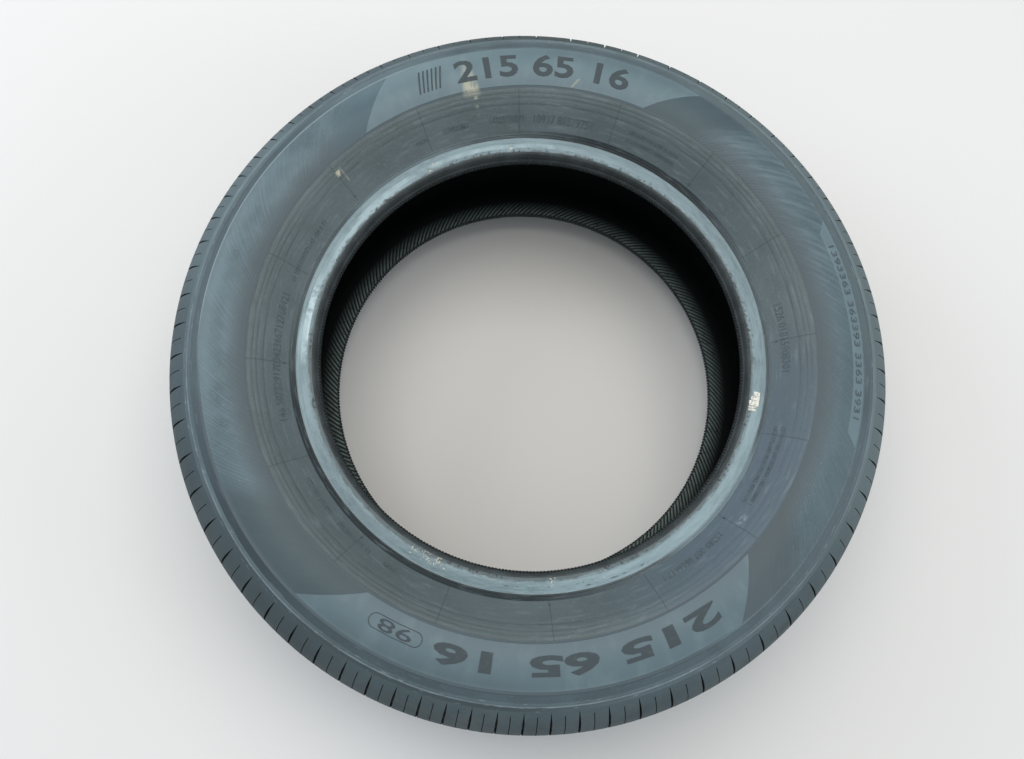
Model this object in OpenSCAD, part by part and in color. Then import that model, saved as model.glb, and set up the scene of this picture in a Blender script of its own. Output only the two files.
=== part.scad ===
// Worn 16 inch passenger car tyre of the 65 series, off its rim and lying on one sidewall.
// The axle line is Z, the lower sidewall rests on z = 0 and the origin is on the axle line.
// Section points are [radius, height above the middle plane of the tread].

/* [Size] */
// Overall diameter across the worn tread
overall_d = 684; // [680:1:690]
// Width at the widest place of the sidewalls, free of the rim
section_w = 224; // [220:1:228]

/* [Tread] */
// Radius of the crown across the tread
crown_r = 990; // [800:10:1200]
// Radius of the round shoulder
shoulder_r = 63; // [60:1:66]
// Depth left in the grooves
groove_depth = 4.5; // [2:0.5:8]
// Height of the wear bars above the groove floor
wear_bar_h = 1.6; // [1:0.1:1.8]
// Width of the two middle grooves
middle_groove_w = 9; // [7:0.5:11]
// Width of the two outer grooves
outer_groove_w = 8; // [6:0.5:9]
// Distance of a middle groove from the middle plane
middle_groove_at = 16; // [12:1:20]
// Distance of an outer groove from the middle plane
outer_groove_at = 48; // [44:1:49]
// Thickness from the groove floor to the liner
under_tread = 8; // [7:0.5:10]

/* [Shoulder slots] */
// Number of pitches round the tyre
pitches = 72; // [60:1:80]
// Width of a shoulder slot
slot_w = 2.4; // [1.6:0.1:3]
// Radius at which a slot runs out on the sidewall
slot_end_r = 318.5; // [314:0.5:322]

/* [Sidewall] */
// Radius of the lower sidewall's bulge
side_r = 49.6; // [48:0.1:52]
// Angle from the widest place down to the straight part over the bead
side_a = 42; // [38:1:44]
// Thickness of the sidewall
wall_t = 6.5; // [5:0.5:8]
// Radius of the first of the fine ring grooves
ring_r = 245.1; // [243:0.1:246]
// Width of a fine ring groove or rib
ring_w = 1.1; // [0.8:0.1:1.4]
// Radius of the rib inside the plain band
inner_rib_r = 302; // [300:0.5:304]
// Radius of the rib outside the plain band
outer_rib_r = 312.8; // [311:0.1:314]

/* [Bead] */
// Diameter of the bead seat, where the bead grips the rim
seat_d = 404.8; // [404:0.1:406]
// Length of the bead seat
seat_l = 7; // [5:0.5:8]
// Diameter across the toe of the bead
toe_d = 398.6; // [397:0.1:400]
// Distance between the faces that lie on the rim's flanges
flange_gap = 158; // [154:1:162]
// Radius of the heel of the bead
heel_r = 3; // [2:0.5:4]
// Radius of the hollow that takes the rim's flange
flange_r = 8; // [6:0.5:10]

/* [Hidden] */

// steps of the round outlines: angle of an arc's step, facets round the tyre, facets of a small ring
step_a = 6;
turn_facets = 180;
ring_facets = 24;
half_w = section_w / 2;
outer_r = overall_d / 2;

// outside: crown arc, shoulder arc and side arc run into each other without a corner
shoulder_w = half_w - shoulder_r;
tread_a = asin(shoulder_w / (crown_r - shoulder_r));
wide_r = outer_r - crown_r * (1 - cos(tread_a)) - shoulder_r * cos(tread_a);
side_w = half_w - side_r;

// bead: a straight part falls from the side arc to the flange face
face_w = flange_gap / 2;
straight_top = [wide_r - side_r * sin(side_a), side_w + side_r * cos(side_a)];
corner_r = straight_top[0] - (straight_top[1] - face_w) / tan(side_a);
flange_c_r = corner_r - flange_r * tan(side_a / 2);
seat_r = seat_d / 2;
seat_top_w = face_w - heel_r;
toe_r = toe_d / 2;
toe_tip_r = 1;
toe_drop = 4;
toe_w = seat_top_w - seat_l - toe_drop;
toe_from_a = 140;
toe_to_a = 278;

// inner face of the bead: a wide arc runs on from the toe's small one
bead_inner_r = 59.4;
bead_inner_to_a = 316.6;
bead_inner_at = toe_r + toe_tip_r - (bead_inner_r - toe_tip_r) * cos(toe_to_a);
bead_inner_w = toe_w - (bead_inner_r - toe_tip_r) * sin(toe_to_a);

// inside: the liner follows the outside at wall thickness, thicker under the tread
liner_a = side_a - 4;
liner_end_a = 3;
liner_shoulder_r = 50;
liner_shoulder_w = half_w - wall_t - liner_shoulder_r;
liner_crown_r = outer_r - groove_depth - under_tread;

// rings on the sidewall
ring_steps = [0, 5.2, 8.8, 13.2];
rim_line_r = flange_c_r + 2.4;
rim_line_steps = [0, 2.2];

// grooves across the tread: share of the width at the floor and just above the tread
groove_floor_share = 0.72;
groove_top_share = 1.24;
slot_start_share = 0.3;
run_out_a = 8;
run_out_lift = 0.3;

// the pitch swings once and three times round the tyre: how far, and where each swing starts
one_swing = 3;
one_swing_from = 70;
three_swings = 3.3;
three_swings_from = -78;

wear_bars = 6;
wear_bar_l = 14;
wear_bar_w = 7.2;
wear_bar_root = 1;
clear = 6;

function arc(centre, r, from_a, to_a) =
    let (n = max(1, ceil(abs(to_a - from_a) / step_a)))
    [for (i = [0 : n]) centre + r * [for (f = [0, 90]) cos(from_a + (to_a - from_a) * i / n - f)]];

function side_height(r) =
    r < wide_r
    ? side_w + sqrt(pow(side_r, 2) - pow(r - wide_r, 2))
    : shoulder_w + sqrt(pow(shoulder_r, 2) - pow(r - wide_r, 2));

function flange_height(r) = face_w + flange_r - sqrt(pow(flange_r, 2) - pow(r - flange_c_r, 2));

function crown_at(w) = outer_r - crown_r + sqrt(pow(crown_r, 2) - pow(w, 2));

// angle of a slot: the pitch grows and shrinks round the tyre so that it runs quietly
function slot_angle(turn) =
    turn + one_swing * sin(turn - one_swing_from) + three_swings * sin(3 * turn - three_swings_from);

half_outline = concat(
    arc([outer_r - crown_r, 0], crown_r, 0, tread_a),
    arc([wide_r, shoulder_w], shoulder_r, tread_a + step_a, 90),
    arc([wide_r, side_w], side_r, 90 + step_a, 90 + side_a),
    arc([flange_c_r, face_w + flange_r], flange_r, side_a - 90, -90),
    arc([seat_r + heel_r, seat_top_w], heel_r, 90, 180),
    [[seat_r, seat_top_w - seat_l]],
    arc([toe_r + toe_tip_r, toe_w], toe_tip_r, toe_from_a, toe_to_a),
    arc([bead_inner_at, bead_inner_w], bead_inner_r, toe_to_a + step_a, bead_inner_to_a),
    arc([wide_r, side_w], side_r - wall_t, 90 + liner_a, 90),
    arc([wide_r, liner_shoulder_w], liner_shoulder_r, 90 - step_a, liner_end_a),
    [[liner_crown_r, 0]]
);

function mirrored(points) = [for (i = [len(points) - 2 : -1 : 1]) [points[i][0], -points[i][1]]];

module groove(at, w) {
    top = crown_at(at) + clear;
    floor_r = crown_at(at) - groove_depth;
    floor_half = w * groove_floor_share / 2;
    top_half = w * groove_top_share / 2;
    polygon([
        [floor_r, at - floor_half],
        [floor_r, at + floor_half],
        [top, at + top_half],
        [top, at - top_half]
    ]);
}

module grooves() {
    for (side = [-1, 1]) {
        groove(side * middle_groove_at, middle_groove_w);
        groove(side * outer_groove_at, outer_groove_w);
    }
}

module sidewall_grooves() {
    for (s = ring_steps)
        translate([ring_r + s, side_height(ring_r + s)]) circle(d = ring_w, $fn = ring_facets);
}

module sidewall_ribs() {
    for (r = [inner_rib_r, outer_rib_r])
        translate([r, side_height(r)]) circle(d = ring_w, $fn = ring_facets);
    for (s = rim_line_steps)
        translate([rim_line_r + s, flange_height(rim_line_r + s)])
            circle(d = ring_w, $fn = ring_facets);
}

module section() {
    difference() {
        union() {
            polygon(concat(half_outline, mirrored(half_outline)));
            for (side = [0, 1]) mirror([0, side]) sidewall_ribs();
        }
        for (side = [0, 1]) mirror([0, side]) sidewall_grooves();
        grooves();
    }
}

// side view of one shoulder slot: its floor follows the shoulder and runs out on the sidewall
module slot_profile() {
    end_a = acos((slot_end_r - wide_r) / shoulder_r);
    floor_arc = arc([wide_r, shoulder_w], shoulder_r - groove_depth, tread_a, end_a - run_out_a);
    run_out = wide_r + (shoulder_r + run_out_lift) * cos(end_a);
    run_out_w = shoulder_w + (shoulder_r + run_out_lift) * sin(end_a);
    over_arc = arc([wide_r, shoulder_w], shoulder_r + clear, end_a, tread_a);
    groove_w = outer_groove_at - outer_groove_w * slot_start_share;
    polygon(concat(
        [[floor_arc[0][0], groove_w]],
        floor_arc,
        [[run_out, run_out_w]],
        over_arc,
        [[over_arc[len(over_arc) - 1][0], groove_w]]
    ));
}

module shoulder_slots() {
    for (i = [0 : pitches - 1])
        rotate([0, 0, slot_angle(360 * i / pitches)])
            rotate([90, 0, 0])
                translate([0, 0, -slot_w / 2])
                    linear_extrude(height = slot_w) slot_profile();
}

module wear_bar_row() {
    root_r = crown_at(outer_groove_at) - groove_depth - wear_bar_root;
    top_r = crown_at(outer_groove_at) - groove_depth + wear_bar_h;
    for (at = [-outer_groove_at, -middle_groove_at, middle_groove_at, outer_groove_at])
        translate([root_r, -wear_bar_l / 2, at - wear_bar_w / 2])
            cube([top_r - root_r, wear_bar_l, wear_bar_w]);
}

module tyre() {
    color("#5a6165")
    translate([0, 0, half_w])
        union() {
            difference() {
                rotate_extrude($fn = turn_facets) section();
                shoulder_slots();
                mirror([0, 0, 1]) shoulder_slots();
            }
            for (i = [0 : wear_bars - 1]) rotate([0, 0, (i + 0.5) * 360 / wear_bars]) wear_bar_row();
        }
}

tyre();
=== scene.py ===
import math
import random

import bmesh
import bpy
from mathutils import Matrix, Vector


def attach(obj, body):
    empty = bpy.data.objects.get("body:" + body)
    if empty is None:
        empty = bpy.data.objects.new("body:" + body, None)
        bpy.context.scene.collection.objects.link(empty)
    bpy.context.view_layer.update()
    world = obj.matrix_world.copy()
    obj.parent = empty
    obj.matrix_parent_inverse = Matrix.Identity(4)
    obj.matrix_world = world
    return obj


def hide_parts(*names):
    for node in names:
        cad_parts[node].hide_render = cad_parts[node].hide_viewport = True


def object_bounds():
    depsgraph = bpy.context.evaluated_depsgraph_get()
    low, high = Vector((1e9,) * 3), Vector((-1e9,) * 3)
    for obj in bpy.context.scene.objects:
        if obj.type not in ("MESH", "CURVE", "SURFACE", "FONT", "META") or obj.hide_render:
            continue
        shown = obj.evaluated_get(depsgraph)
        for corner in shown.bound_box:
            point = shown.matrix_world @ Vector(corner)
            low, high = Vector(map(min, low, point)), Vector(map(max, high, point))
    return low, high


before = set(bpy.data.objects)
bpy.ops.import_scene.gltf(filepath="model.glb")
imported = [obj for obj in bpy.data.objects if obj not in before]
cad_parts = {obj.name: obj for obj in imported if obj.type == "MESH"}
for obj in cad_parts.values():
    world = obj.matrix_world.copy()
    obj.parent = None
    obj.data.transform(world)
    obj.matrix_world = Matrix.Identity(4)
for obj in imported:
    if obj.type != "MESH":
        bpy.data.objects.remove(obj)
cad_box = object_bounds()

# An old worn car tyre, off its rim, lying on one sidewall with its axle line upright.
# Sizes are millimetres until they become places. A section point is (radius, height above the
# middle plane of the tread); a turn is an angle round the axle line in degrees.

MM = 0.001
OUTER_R = -cad_box[0][0] / MM
HALF_W = (cad_box[1][2] - cad_box[0][2]) / MM / 2
MID_Z = (cad_box[1][2] + cad_box[0][2]) / MM / 2

# tread: each groove is its distance from the middle plane and its width
CROWN_R = 990
SHOULDER_R = 63
GROOVE_DEPTH = 4.5
GROOVES = ((16, 9), (48, 8))
GROOVE_EDGE_SHARE = 0.471
GROOVE_FLOOR_SHARE = 0.36
UNDER_TREAD = 8
EDGE_WEAR = 0.6
MIDDLE_RIB = (0, 4, 8)
SECOND_RIB = (25, 32, 39)

# slots and sipes
SIPE_W = 0.7
SIPE_DEPTH = 3
SLOT_W = 2
SLOT_TIP_SHARE = 0.25
SLOT_TAPER_A = 16
SLOT_END_R = 318.5
SIPE_END_R = 321.5
SLOT_RUN_OUT_A = 7
SIPE_RUN_OUT_A = 5
RUN_OUT_POWER = 0.7
SHOULDER_STEPS = 14
PITCHES = 72

# the pitch swings once and three times round the tyre: how far, and where each swing starts
ONE_SWING = 3
ONE_SWING_FROM = 70
THREE_SWINGS = 3.3
THREE_SWINGS_FROM = -78

# sidewall
SIDE_R = 49.6
SIDE_A = 42
WALL_T = 6.5
RINGS = (245.1, 250.3, 253.9, 258.3)
RING_HALF = 0.6
RING_SUNK = 0.2
RIB_LIFT = 0.5
RIB_HALF = 0.7
RIB_TOP_SHARE = 0.4
INNER_RIB_R = 302
OUTER_RIB_R = 312.8
PANEL_R = 261
PANEL_TOP_R = INNER_RIB_R - 1
PANEL_STEP = 0.2
PANEL_SUNK = 0.4
LOWER_END_R = 226
BAND_ROWS = 2
PANEL_ROWS = 9
LOWER_ROWS = 4

# the two lines just outside the rim's flange: how far up from the hollow, how high and how wide
RIM_LINES = (4.6, 2.4)
RIM_LINE_LIFT = 0.55
RIM_LINE_HALF = 0.65

# bead: the rim pressed its face into a low swell, given as radius and height
SEAT_R = 202.4
SEAT_L = 7
TOE_R = 199.3
TOE_DROP = 4
FACE_W = 79
FACE_TOP = 0.9
FACE_SWELL = ((216.5, 0.2), (214, 0.35), (211, 0.4), (208.5, 0.25))
HEEL_R = 3
FLANGE_R = 8
TOE_TIP_R = 1
TOE_FROM_A = 140
TOE_END_A = 278
BEAD_INNER_R = 59.4
BEAD_INNER_FROM_A = TOE_END_A + 0.4
BEAD_INNER_END_A = 316.6
HEEL_STEPS = 5
TIP_STEPS = 4
BEAD_INNER_STEPS = 6

# liner
LINER_RIDGES = 250
LINER_LEAN = 0.28
LINER_SHOULDER_R = 50
LINER_SHOULDER_FROM_A = 82
LINER_SHOULDER_END_A = 3
LINER_SIDE_STEPS = 6
LINER_SHOULDER_STEPS = 10
LINER_CROWN = ((0.3, 36), (0.1, 18), (0, 0))

# the places where the arcs of the section run into each other
SHOULDER_W = HALF_W - SHOULDER_R
TREAD_A = math.degrees(math.asin(SHOULDER_W / (CROWN_R - SHOULDER_R)))
TREAD_COS = math.cos(math.radians(TREAD_A))
WIDE_R = OUTER_R - CROWN_R * (1 - TREAD_COS) - SHOULDER_R * TREAD_COS
SIDE_W = HALF_W - SIDE_R
STRAIGHT_R = WIDE_R - SIDE_R * math.sin(math.radians(SIDE_A))
STRAIGHT_W = SIDE_W + SIDE_R * math.cos(math.radians(SIDE_A))
CORNER_R = STRAIGHT_R - (STRAIGHT_W - FACE_W) / math.tan(math.radians(SIDE_A))
FLANGE_C_R = CORNER_R - FLANGE_R * math.tan(math.radians(SIDE_A / 2))
FLANGE_END_R = FLANGE_C_R + FLANGE_R * math.sin(math.radians(SIDE_A))
SEAT_TOP_W = FACE_W - HEEL_R
TOE_W = SEAT_TOP_W - SEAT_L - TOE_DROP
LINER_A = SIDE_A - 4
SHOULDER_FROM_A = TREAD_A + 1.2


def polar(centre, r, a):
    """A point at angle a, in degrees, on a circle in the section."""
    return (centre[0] + r * math.cos(math.radians(a)), centre[1] + r * math.sin(math.radians(a)))


def arc(centre, r, start, end, steps):
    """Points along an arc in the section, from angle start to angle end, both included."""
    return [polar(centre, r, start + (end - start) * i / steps) for i in range(steps + 1)]


def crown(w):
    """The radius of the worn tread at distance w from the middle plane."""
    return OUTER_R - CROWN_R + math.sqrt(CROWN_R ** 2 - w ** 2)


def outside(r, lift=0.0):
    """The section point on the outside of the sidewall at radius r, lifted off it along its normal."""
    if r >= WIDE_R:
        centre, radius, side = (WIDE_R, SHOULDER_W), SHOULDER_R, 1
    elif r >= STRAIGHT_R:
        centre, radius, side = (WIDE_R, SIDE_W), SIDE_R, 1
    elif r >= FLANGE_END_R:
        a = math.radians(SIDE_A)
        w = STRAIGHT_W - (STRAIGHT_R - r) * math.tan(a)
        return (r - lift * math.sin(a), w + lift * math.cos(a))
    elif r >= FLANGE_C_R:
        centre, radius, side = (FLANGE_C_R, FACE_W + FLANGE_R), FLANGE_R, -1
    else:
        return (r, FACE_W + lift)
    rise = math.sqrt(max(radius ** 2 - (r - centre[0]) ** 2, 0))
    normal = ((r - centre[0]) / radius * side, rise / radius)
    return (r + lift * normal[0], centre[1] + side * rise + lift * normal[1])


def slot_turn(turn):
    """The turn of a slot. The pitch grows and shrinks round the tyre so that it runs quietly."""
    one = math.sin(math.radians(turn - ONE_SWING_FROM))
    three = math.sin(math.radians(3 * turn - THREE_SWINGS_FROM))
    return turn + ONE_SWING * one + THREE_SWINGS * three


def place(turn, r, w):
    """The place in metres of a section point at a turn."""
    a = math.radians(turn)
    return Vector((r * math.cos(a), r * math.sin(a), MID_Z + w)) * MM


# --- the section, row by row -------------------------------------------------------------------

class Row:
    """One ring of points round the tyre: where it is, its material, and how slots and sipes cut it."""

    def __init__(self, at, zone, slot=None, sipe=None, cut=False, wide=SIPE_W):
        self.at = at
        self.zone = zone
        self.slot = slot
        self.sipe = sipe
        self.cut = cut
        self.wide = wide


def rib_row(w):
    """A row on the tread's face that slots and sipes cut to a sipe's depth."""
    floor = (crown(w) - SIPE_DEPTH, w)
    return Row((crown(w), w), "tread", floor, floor, True)


def groove_rows(at, width):
    """One groove across the tread, from its inner edge to its outer edge, with worn round edges."""
    rows = []
    for side in (-1, 1):
        edge = at + side * width * GROOVE_EDGE_SHARE
        corner = (crown(at) - GROOVE_DEPTH, at + side * width * GROOVE_FLOOR_SHARE)
        lip = (crown(edge) - EDGE_WEAR, edge)
        top = rib_row(edge + side * EDGE_WEAR)
        if side < 0:
            rows += [top, Row(lip, "groove", cut=True), Row(corner, "groove", cut=True)]
            continue
        opens = at == GROOVES[1][0]
        if opens:
            top.slot = (corner[0], top.at[1])
        rows += [
            Row(corner, "groove", cut=True),
            Row(lip, "tread", corner if opens else None, None, True),
            top,
        ]
    return rows


def tread_rows():
    """The upper half of the tread, from the middle plane to the outer side of the outer groove."""
    rows = [rib_row(w) for w in MIDDLE_RIB]
    rows += groove_rows(*GROOVES[0])
    rows += [rib_row(w) for w in SECOND_RIB]
    return rows + groove_rows(*GROOVES[1])


def run_out(a, end, length):
    """The share of a cut's full depth at angle a, when it runs out at the angle end."""
    return min(1, max(0, (end - a) / length) ** RUN_OUT_POWER)


def shoulder_rows():
    """The round shoulder: slots and sipes follow it down, grow narrow and run out."""
    centre = (WIDE_R, SHOULDER_W)
    end_a = math.degrees(math.acos((SLOT_END_R - WIDE_R) / SHOULDER_R))
    sipe_a = math.degrees(math.acos((SIPE_END_R - WIDE_R) / SHOULDER_R))
    rows = []
    for i in range(SHOULDER_STEPS + 1):
        a = SHOULDER_FROM_A + (end_a - SHOULDER_FROM_A) * i / SHOULDER_STEPS
        slot = GROOVE_DEPTH * run_out(a, end_a, SLOT_RUN_OUT_A)
        sipe = SIPE_DEPTH * run_out(a, sipe_a, SIPE_RUN_OUT_A)
        rows.append(Row(
            polar(centre, SHOULDER_R, a), "tread",
            polar(centre, SHOULDER_R - slot, a),
            polar(centre, SHOULDER_R - sipe, a) if sipe and i > 1 else None,
            True, SLOT_W * min(1, SLOT_TIP_SHARE + (end_a - a) / SLOT_TAPER_A)))
    return rows


def plain_rows(radii, zone, lift=0.0):
    """Rows on the outside of the sidewall, lifted off it or sunk into it."""
    return [Row(outside(r, lift), zone) for r in radii]


def between(start, end, count):
    """Radii evenly spaced from start to end, ends left out."""
    return [start + (end - start) * (i + 1) / (count + 1) for i in range(count)]


def rib_rows(r, zone, lift=RIB_LIFT, half=RIB_HALF):
    """A fine raised rib with sloping sides."""
    top = half * RIB_TOP_SHARE
    steps = ((half, 0), (top, lift), (-top, lift), (-half, 0))
    return [Row(outside(r + d, up), zone) for d, up in steps]


def ring_rows(r):
    """A fine ring groove, worn shallow."""
    steps = ((RING_HALF, 0), (0, -RING_SUNK), (-RING_HALF, 0))
    return [Row(outside(r + d, down), "lower") for d, down in steps]


def sidewall_rows():
    """The sidewall from the slots' ends down to the lines at the rim's flange."""
    rows = plain_rows(between(SLOT_END_R, OUTER_RIB_R, BAND_ROWS), "shoulder")
    rows += rib_rows(OUTER_RIB_R, "shoulder")
    rows += plain_rows(between(OUTER_RIB_R, INNER_RIB_R, BAND_ROWS), "plain_band")
    rows += rib_rows(INNER_RIB_R, "decor")
    panel = (PANEL_TOP_R - PANEL_STEP, *between(PANEL_TOP_R, PANEL_R, PANEL_ROWS), PANEL_R)
    rows += plain_rows(panel, "decor", -PANEL_SUNK)
    for i in reversed(range(len(RINGS))):
        rows += ring_rows(RINGS[i])
        if i:
            rows += plain_rows(between(RINGS[i], RINGS[i - 1], 1), "lower")
    rows += plain_rows(between(RINGS[0], LOWER_END_R, LOWER_ROWS), "lower")
    for up in RIM_LINES:
        rows += rib_rows(FLANGE_C_R + up, "lower", RIM_LINE_LIFT, RIM_LINE_HALF)
    return rows


def bead_rows():
    """The face that lay on the rim's flange, then the heel, the seat and the toe."""
    rows = plain_rows((FLANGE_C_R + FACE_TOP, FLANGE_C_R), "bead")
    rows += [Row(outside(r, lift), "bead") for r, lift in FACE_SWELL]
    heel = arc((SEAT_R + HEEL_R, SEAT_TOP_W), HEEL_R, 90, 180, HEEL_STEPS)
    rows += [Row(p, "toe") for p in heel]
    rows += [Row((SEAT_R, SEAT_TOP_W - SEAT_L), "toe")]
    tip = arc((TOE_R + TOE_TIP_R, TOE_W), TOE_TIP_R, TOE_FROM_A, TOE_END_A, TIP_STEPS)
    return rows + [Row(p, "toe") for p in tip]


def liner_rows():
    """The bead's inner face and the liner, from the toe up to the middle plane."""
    away = BEAD_INNER_R - TOE_TIP_R
    centre = polar((TOE_R + TOE_TIP_R, TOE_W), -away, TOE_END_A)
    inner = [polar(centre, BEAD_INNER_R, BEAD_INNER_FROM_A)]
    inner += arc(centre, BEAD_INNER_R, TOE_END_A, BEAD_INNER_END_A, BEAD_INNER_STEPS)[1:]
    inner += arc((WIDE_R, SIDE_W), SIDE_R - WALL_T, 90 + LINER_A, 90, LINER_SIDE_STEPS)
    shoulder = (WIDE_R, HALF_W - WALL_T - LINER_SHOULDER_R)
    ends = (LINER_SHOULDER_FROM_A, LINER_SHOULDER_END_A)
    inner += arc(shoulder, LINER_SHOULDER_R, *ends, LINER_SHOULDER_STEPS)
    crown_r = OUTER_R - GROOVE_DEPTH - UNDER_TREAD
    inner += [(crown_r - drop, w) for drop, w in LINER_CROWN]
    return [Row(p, "liner") for p in inner]


def flip(point):
    """The section point mirrored in the middle plane."""
    return None if point is None else (point[0], -point[1])


def mirror_row(row):
    """The same row on the lower half."""
    return Row(flip(row.at), row.zone, flip(row.slot), flip(row.sipe), row.cut, row.wide)


def section_rows():
    """Every row round the closed section: the upper half, then the lower half mirrored back."""
    upper = tread_rows() + shoulder_rows() + sidewall_rows() + bead_rows() + liner_rows()
    lower = [mirror_row(r) for r in reversed(upper[1:-1])]
    return upper + lower


# --- one mesh for the whole tyre ---------------------------------------------------------------

ZONES = ("tread", "groove", "shoulder", "plain_band", "decor", "lower", "bead", "toe", "liner")
SIPE_SWING = 1.2

# the lines of one pitch: where each is in the pitch, what cuts it, on which side, top or floor
LINES = (
    (0, "slot", -1, False), (0, "slot", -1, True), (0, "slot", 1, True), (0, "slot", 1, False),
    (0.25, None, 0, False),
    (0.5, "sipe", -1, False), (0.5, "sipe", -1, True), (0.5, "sipe", 1, True), (0.5, "sipe", 1, False),
    (0.75, None, 0, False),
)
COLUMNS = PITCHES * len(LINES)


def lean(w):
    """How far a sipe of the middle ribs swings, as a turn: an S that leaves both shoulders in place."""
    across = max(-1, min(1, w / GROOVES[1][0]))
    return SIPE_SWING * math.sin(math.pi * across)


def grid_place(row, column):
    """The place of one point of the mesh, and whether it lies on the floor of a slot or a sipe."""
    pitch, line = divmod(column, len(LINES))
    part, cut, side, floor = LINES[line]
    at = row.at
    half = 0
    if cut and row.cut:
        half = (row.wide if cut == "slot" else SIPE_W) / 2
        target = row.slot if cut == "slot" else row.sipe
        if floor and target:
            at = target
    turn = slot_turn(360 * (pitch + part) / PITCHES) + lean(row.at[1])
    turn += side * math.degrees(half / row.at[0])
    return place(turn, at[0], at[1]), at is not row.at


def tyre_mesh():
    """A sheet of one column per line and one row per section row, rolled up into the closed tyre."""
    merge = 0.02 * MM
    rows = section_rows()
    count = len(rows)
    bm = bmesh.new()
    bmesh.ops.create_grid(bm, x_segments=COLUMNS, y_segments=count, size=0.5)
    floors = set()
    zone_of = {}
    for v in bm.verts:
        column = round((v.co.x + 0.5) * COLUMNS) % COLUMNS
        row = rows[round((v.co.y + 0.5) * count) % count]
        v.co, on_floor = grid_place(row, column)
        zone_of[v] = ZONES.index(row.zone)
        if on_floor:
            floors.add(v)
    for f in bm.faces:
        f.material_index = min(zone_of[v] for v in f.verts)
        if any(v in floors for v in f.verts):
            f.material_index = ZONES.index("groove")
    bmesh.ops.remove_doubles(bm, verts=bm.verts, dist=merge)
    bmesh.ops.recalc_face_normals(bm, faces=bm.faces)
    return bm


# --- materials ---------------------------------------------------------------------------------

# the serrations and the panels' ends lean by this many degrees for each mm of radius
LEAN = -0.216
STREAK_R = 280

# the mould's radial parting lines
SEAM_FROM = 16.5
SEAM_STEP = 22.5
SEAM_RADII = (225, 259)


def about(r, half=0.4):
    """Two radii on either side of a line."""
    return (r - half, r + half)


# Where wear, dirt, smooth grounds, painted shade and painted light lie. A place is its end turns,
# its radii, how its ends lean, how many degrees they take to fade in, and how strong it is. A pair
# named _R is the two radii between which a coat fades in.
STRAIGHT = (0, 0)
LEANING = (LEAN, LEAN)
CRISP = 0.12

TREAD_EDGE = (317, 345)
TREAD_DRY_R = (322, 334)
TREAD_PALE_R = (331, 318)
# dust from turn 332 round to 78; painted shade at turns 80-122 and 204-256; painted light at 144-188
TREAD_DUST_SHADE_AND_LIGHT = (
    (((332, 78), TREAD_EDGE, STRAIGHT, 20, 0.6), "#6a797c"),
    (((80, 122), TREAD_EDGE, STRAIGHT, 12, 0.8), "#404a4b"),
    (((144, 188), TREAD_EDGE, STRAIGHT, 10, 0.45), "#6a7a7f"),
    (((204, 256), TREAD_EDGE, STRAIGHT, 10, 0.4), "#353f43"),
)

SHOULDER = (OUTER_RIB_R, SLOT_END_R)
# painted shade at turns 205-300, painted light at 146-184, and lighter dust from 338 round to 78
SHOULDER_SHADE_LIGHT_AND_DUST = (
    (((205, 300), SHOULDER, STRAIGHT, 22), "#3f4d52"),
    (((146, 184), SHOULDER, STRAIGHT, 10, 0.34), "#75898f"),
    (((338, 78), (OUTER_RIB_R, SLOT_END_R + 2), STRAIGHT, 20, 0.6), "#6b7b80"),
)
# a painted highlight along the outer rib, with scuffs, strongest between these turns
OUTER_RIB_HIGHLIGHT_AND_SCUFFS = ((165, 345), about(OUTER_RIB_R), STRAIGHT, 30)

BAND = (INNER_RIB_R, OUTER_RIB_R)
# painted shade at turns 200-255 and painted light at 4-82; lighter at 118-150 and darker at 146-200
BAND_SHADE_AND_LIGHT = (
    (((200, 255), BAND, STRAIGHT, 22), "#37444a"),
    (((4, 82), BAND, STRAIGHT, 12, 0.6), "#5c6b6f"),
    (((118, 150), BAND, STRAIGHT, 10, 0.6), "#63757c"),
    (((146, 200), BAND, STRAIGHT, 10, 0.5), "#3a474d"),
)

DECOR = (PANEL_R, PANEL_TOP_R)
DECOR_SHADE_R = (278, 263)
DECOR_FOOT_R = (277, 262)
PAINTED_GLOW_R = (285, 294)
PANEL_SHADE_AND_LIGHT_R = (284, 296)
# ridges round the tyre of the painted sheen's streaks on each side
STRONG_SHEEN_RIDGES = 225
SOFT_SHEEN_RIDGES = 300
SERRATIONS = 440
PANELS = (
    (((74.9, 136.3), DECOR, (LEAN, -0.237)), "#61767d"),
    (((244.95, 323.7), DECOR, (-0.25, -0.228)), "#5c6f76"),
    (((-3.5, 37), (291, PANEL_TOP_R), (LEAN, -LEAN)), "#62767e"),
)
DULL_WEDGES = (
    (((60, 82), DECOR, LEANING, 5, 0.65), "#37494f"),
    (((131, 147), DECOR, LEANING, 5, 0.65), "#435a64"),
    (((219, 251), DECOR, LEANING, 5, 0.65), "#3c4a4e"),
    (((318, 339), DECOR, LEANING, 5, 0.65), "#455054"),
)
# where the serrations' painted sheen is strong and where it is soft
STRONG_SHEEN_SIDE = ((16, 74), DECOR, LEANING, 12)
SOFT_SHEEN_SIDE = ((124, 228), DECOR, LEANING, 26)
# a painted glow of light on the outer decor between turns 158 and 214
PAINTED_GLOW = ((158, 214), DECOR, STRAIGHT, 10)
# painted shade on the outer decor at turns 66-108 and 240-286, painted light at 112-144
PANEL_PAINTED_SHADE_AND_LIGHT = (
    (((66, 108), DECOR, STRAIGHT, 10, 0.35), "#4a5a61"),
    (((240, 286), DECOR, STRAIGHT, 10, 0.35), "#4a5a61"),
    (((112, 144), DECOR, STRAIGHT, 8, 0.2), "#8499a0"),
)
# darker round the inner rib at turns 196-318; a painted glint along it at 118-196
INNER_RIB_DARK_AND_GLINT = (
    (((196, 318), (INNER_RIB_R - 2, INNER_RIB_R + 1), STRAIGHT, 8), "#49585e"),
    (((118, 196), about(INNER_RIB_R), STRAIGHT, 10), "#7b8f96"),
)

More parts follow.
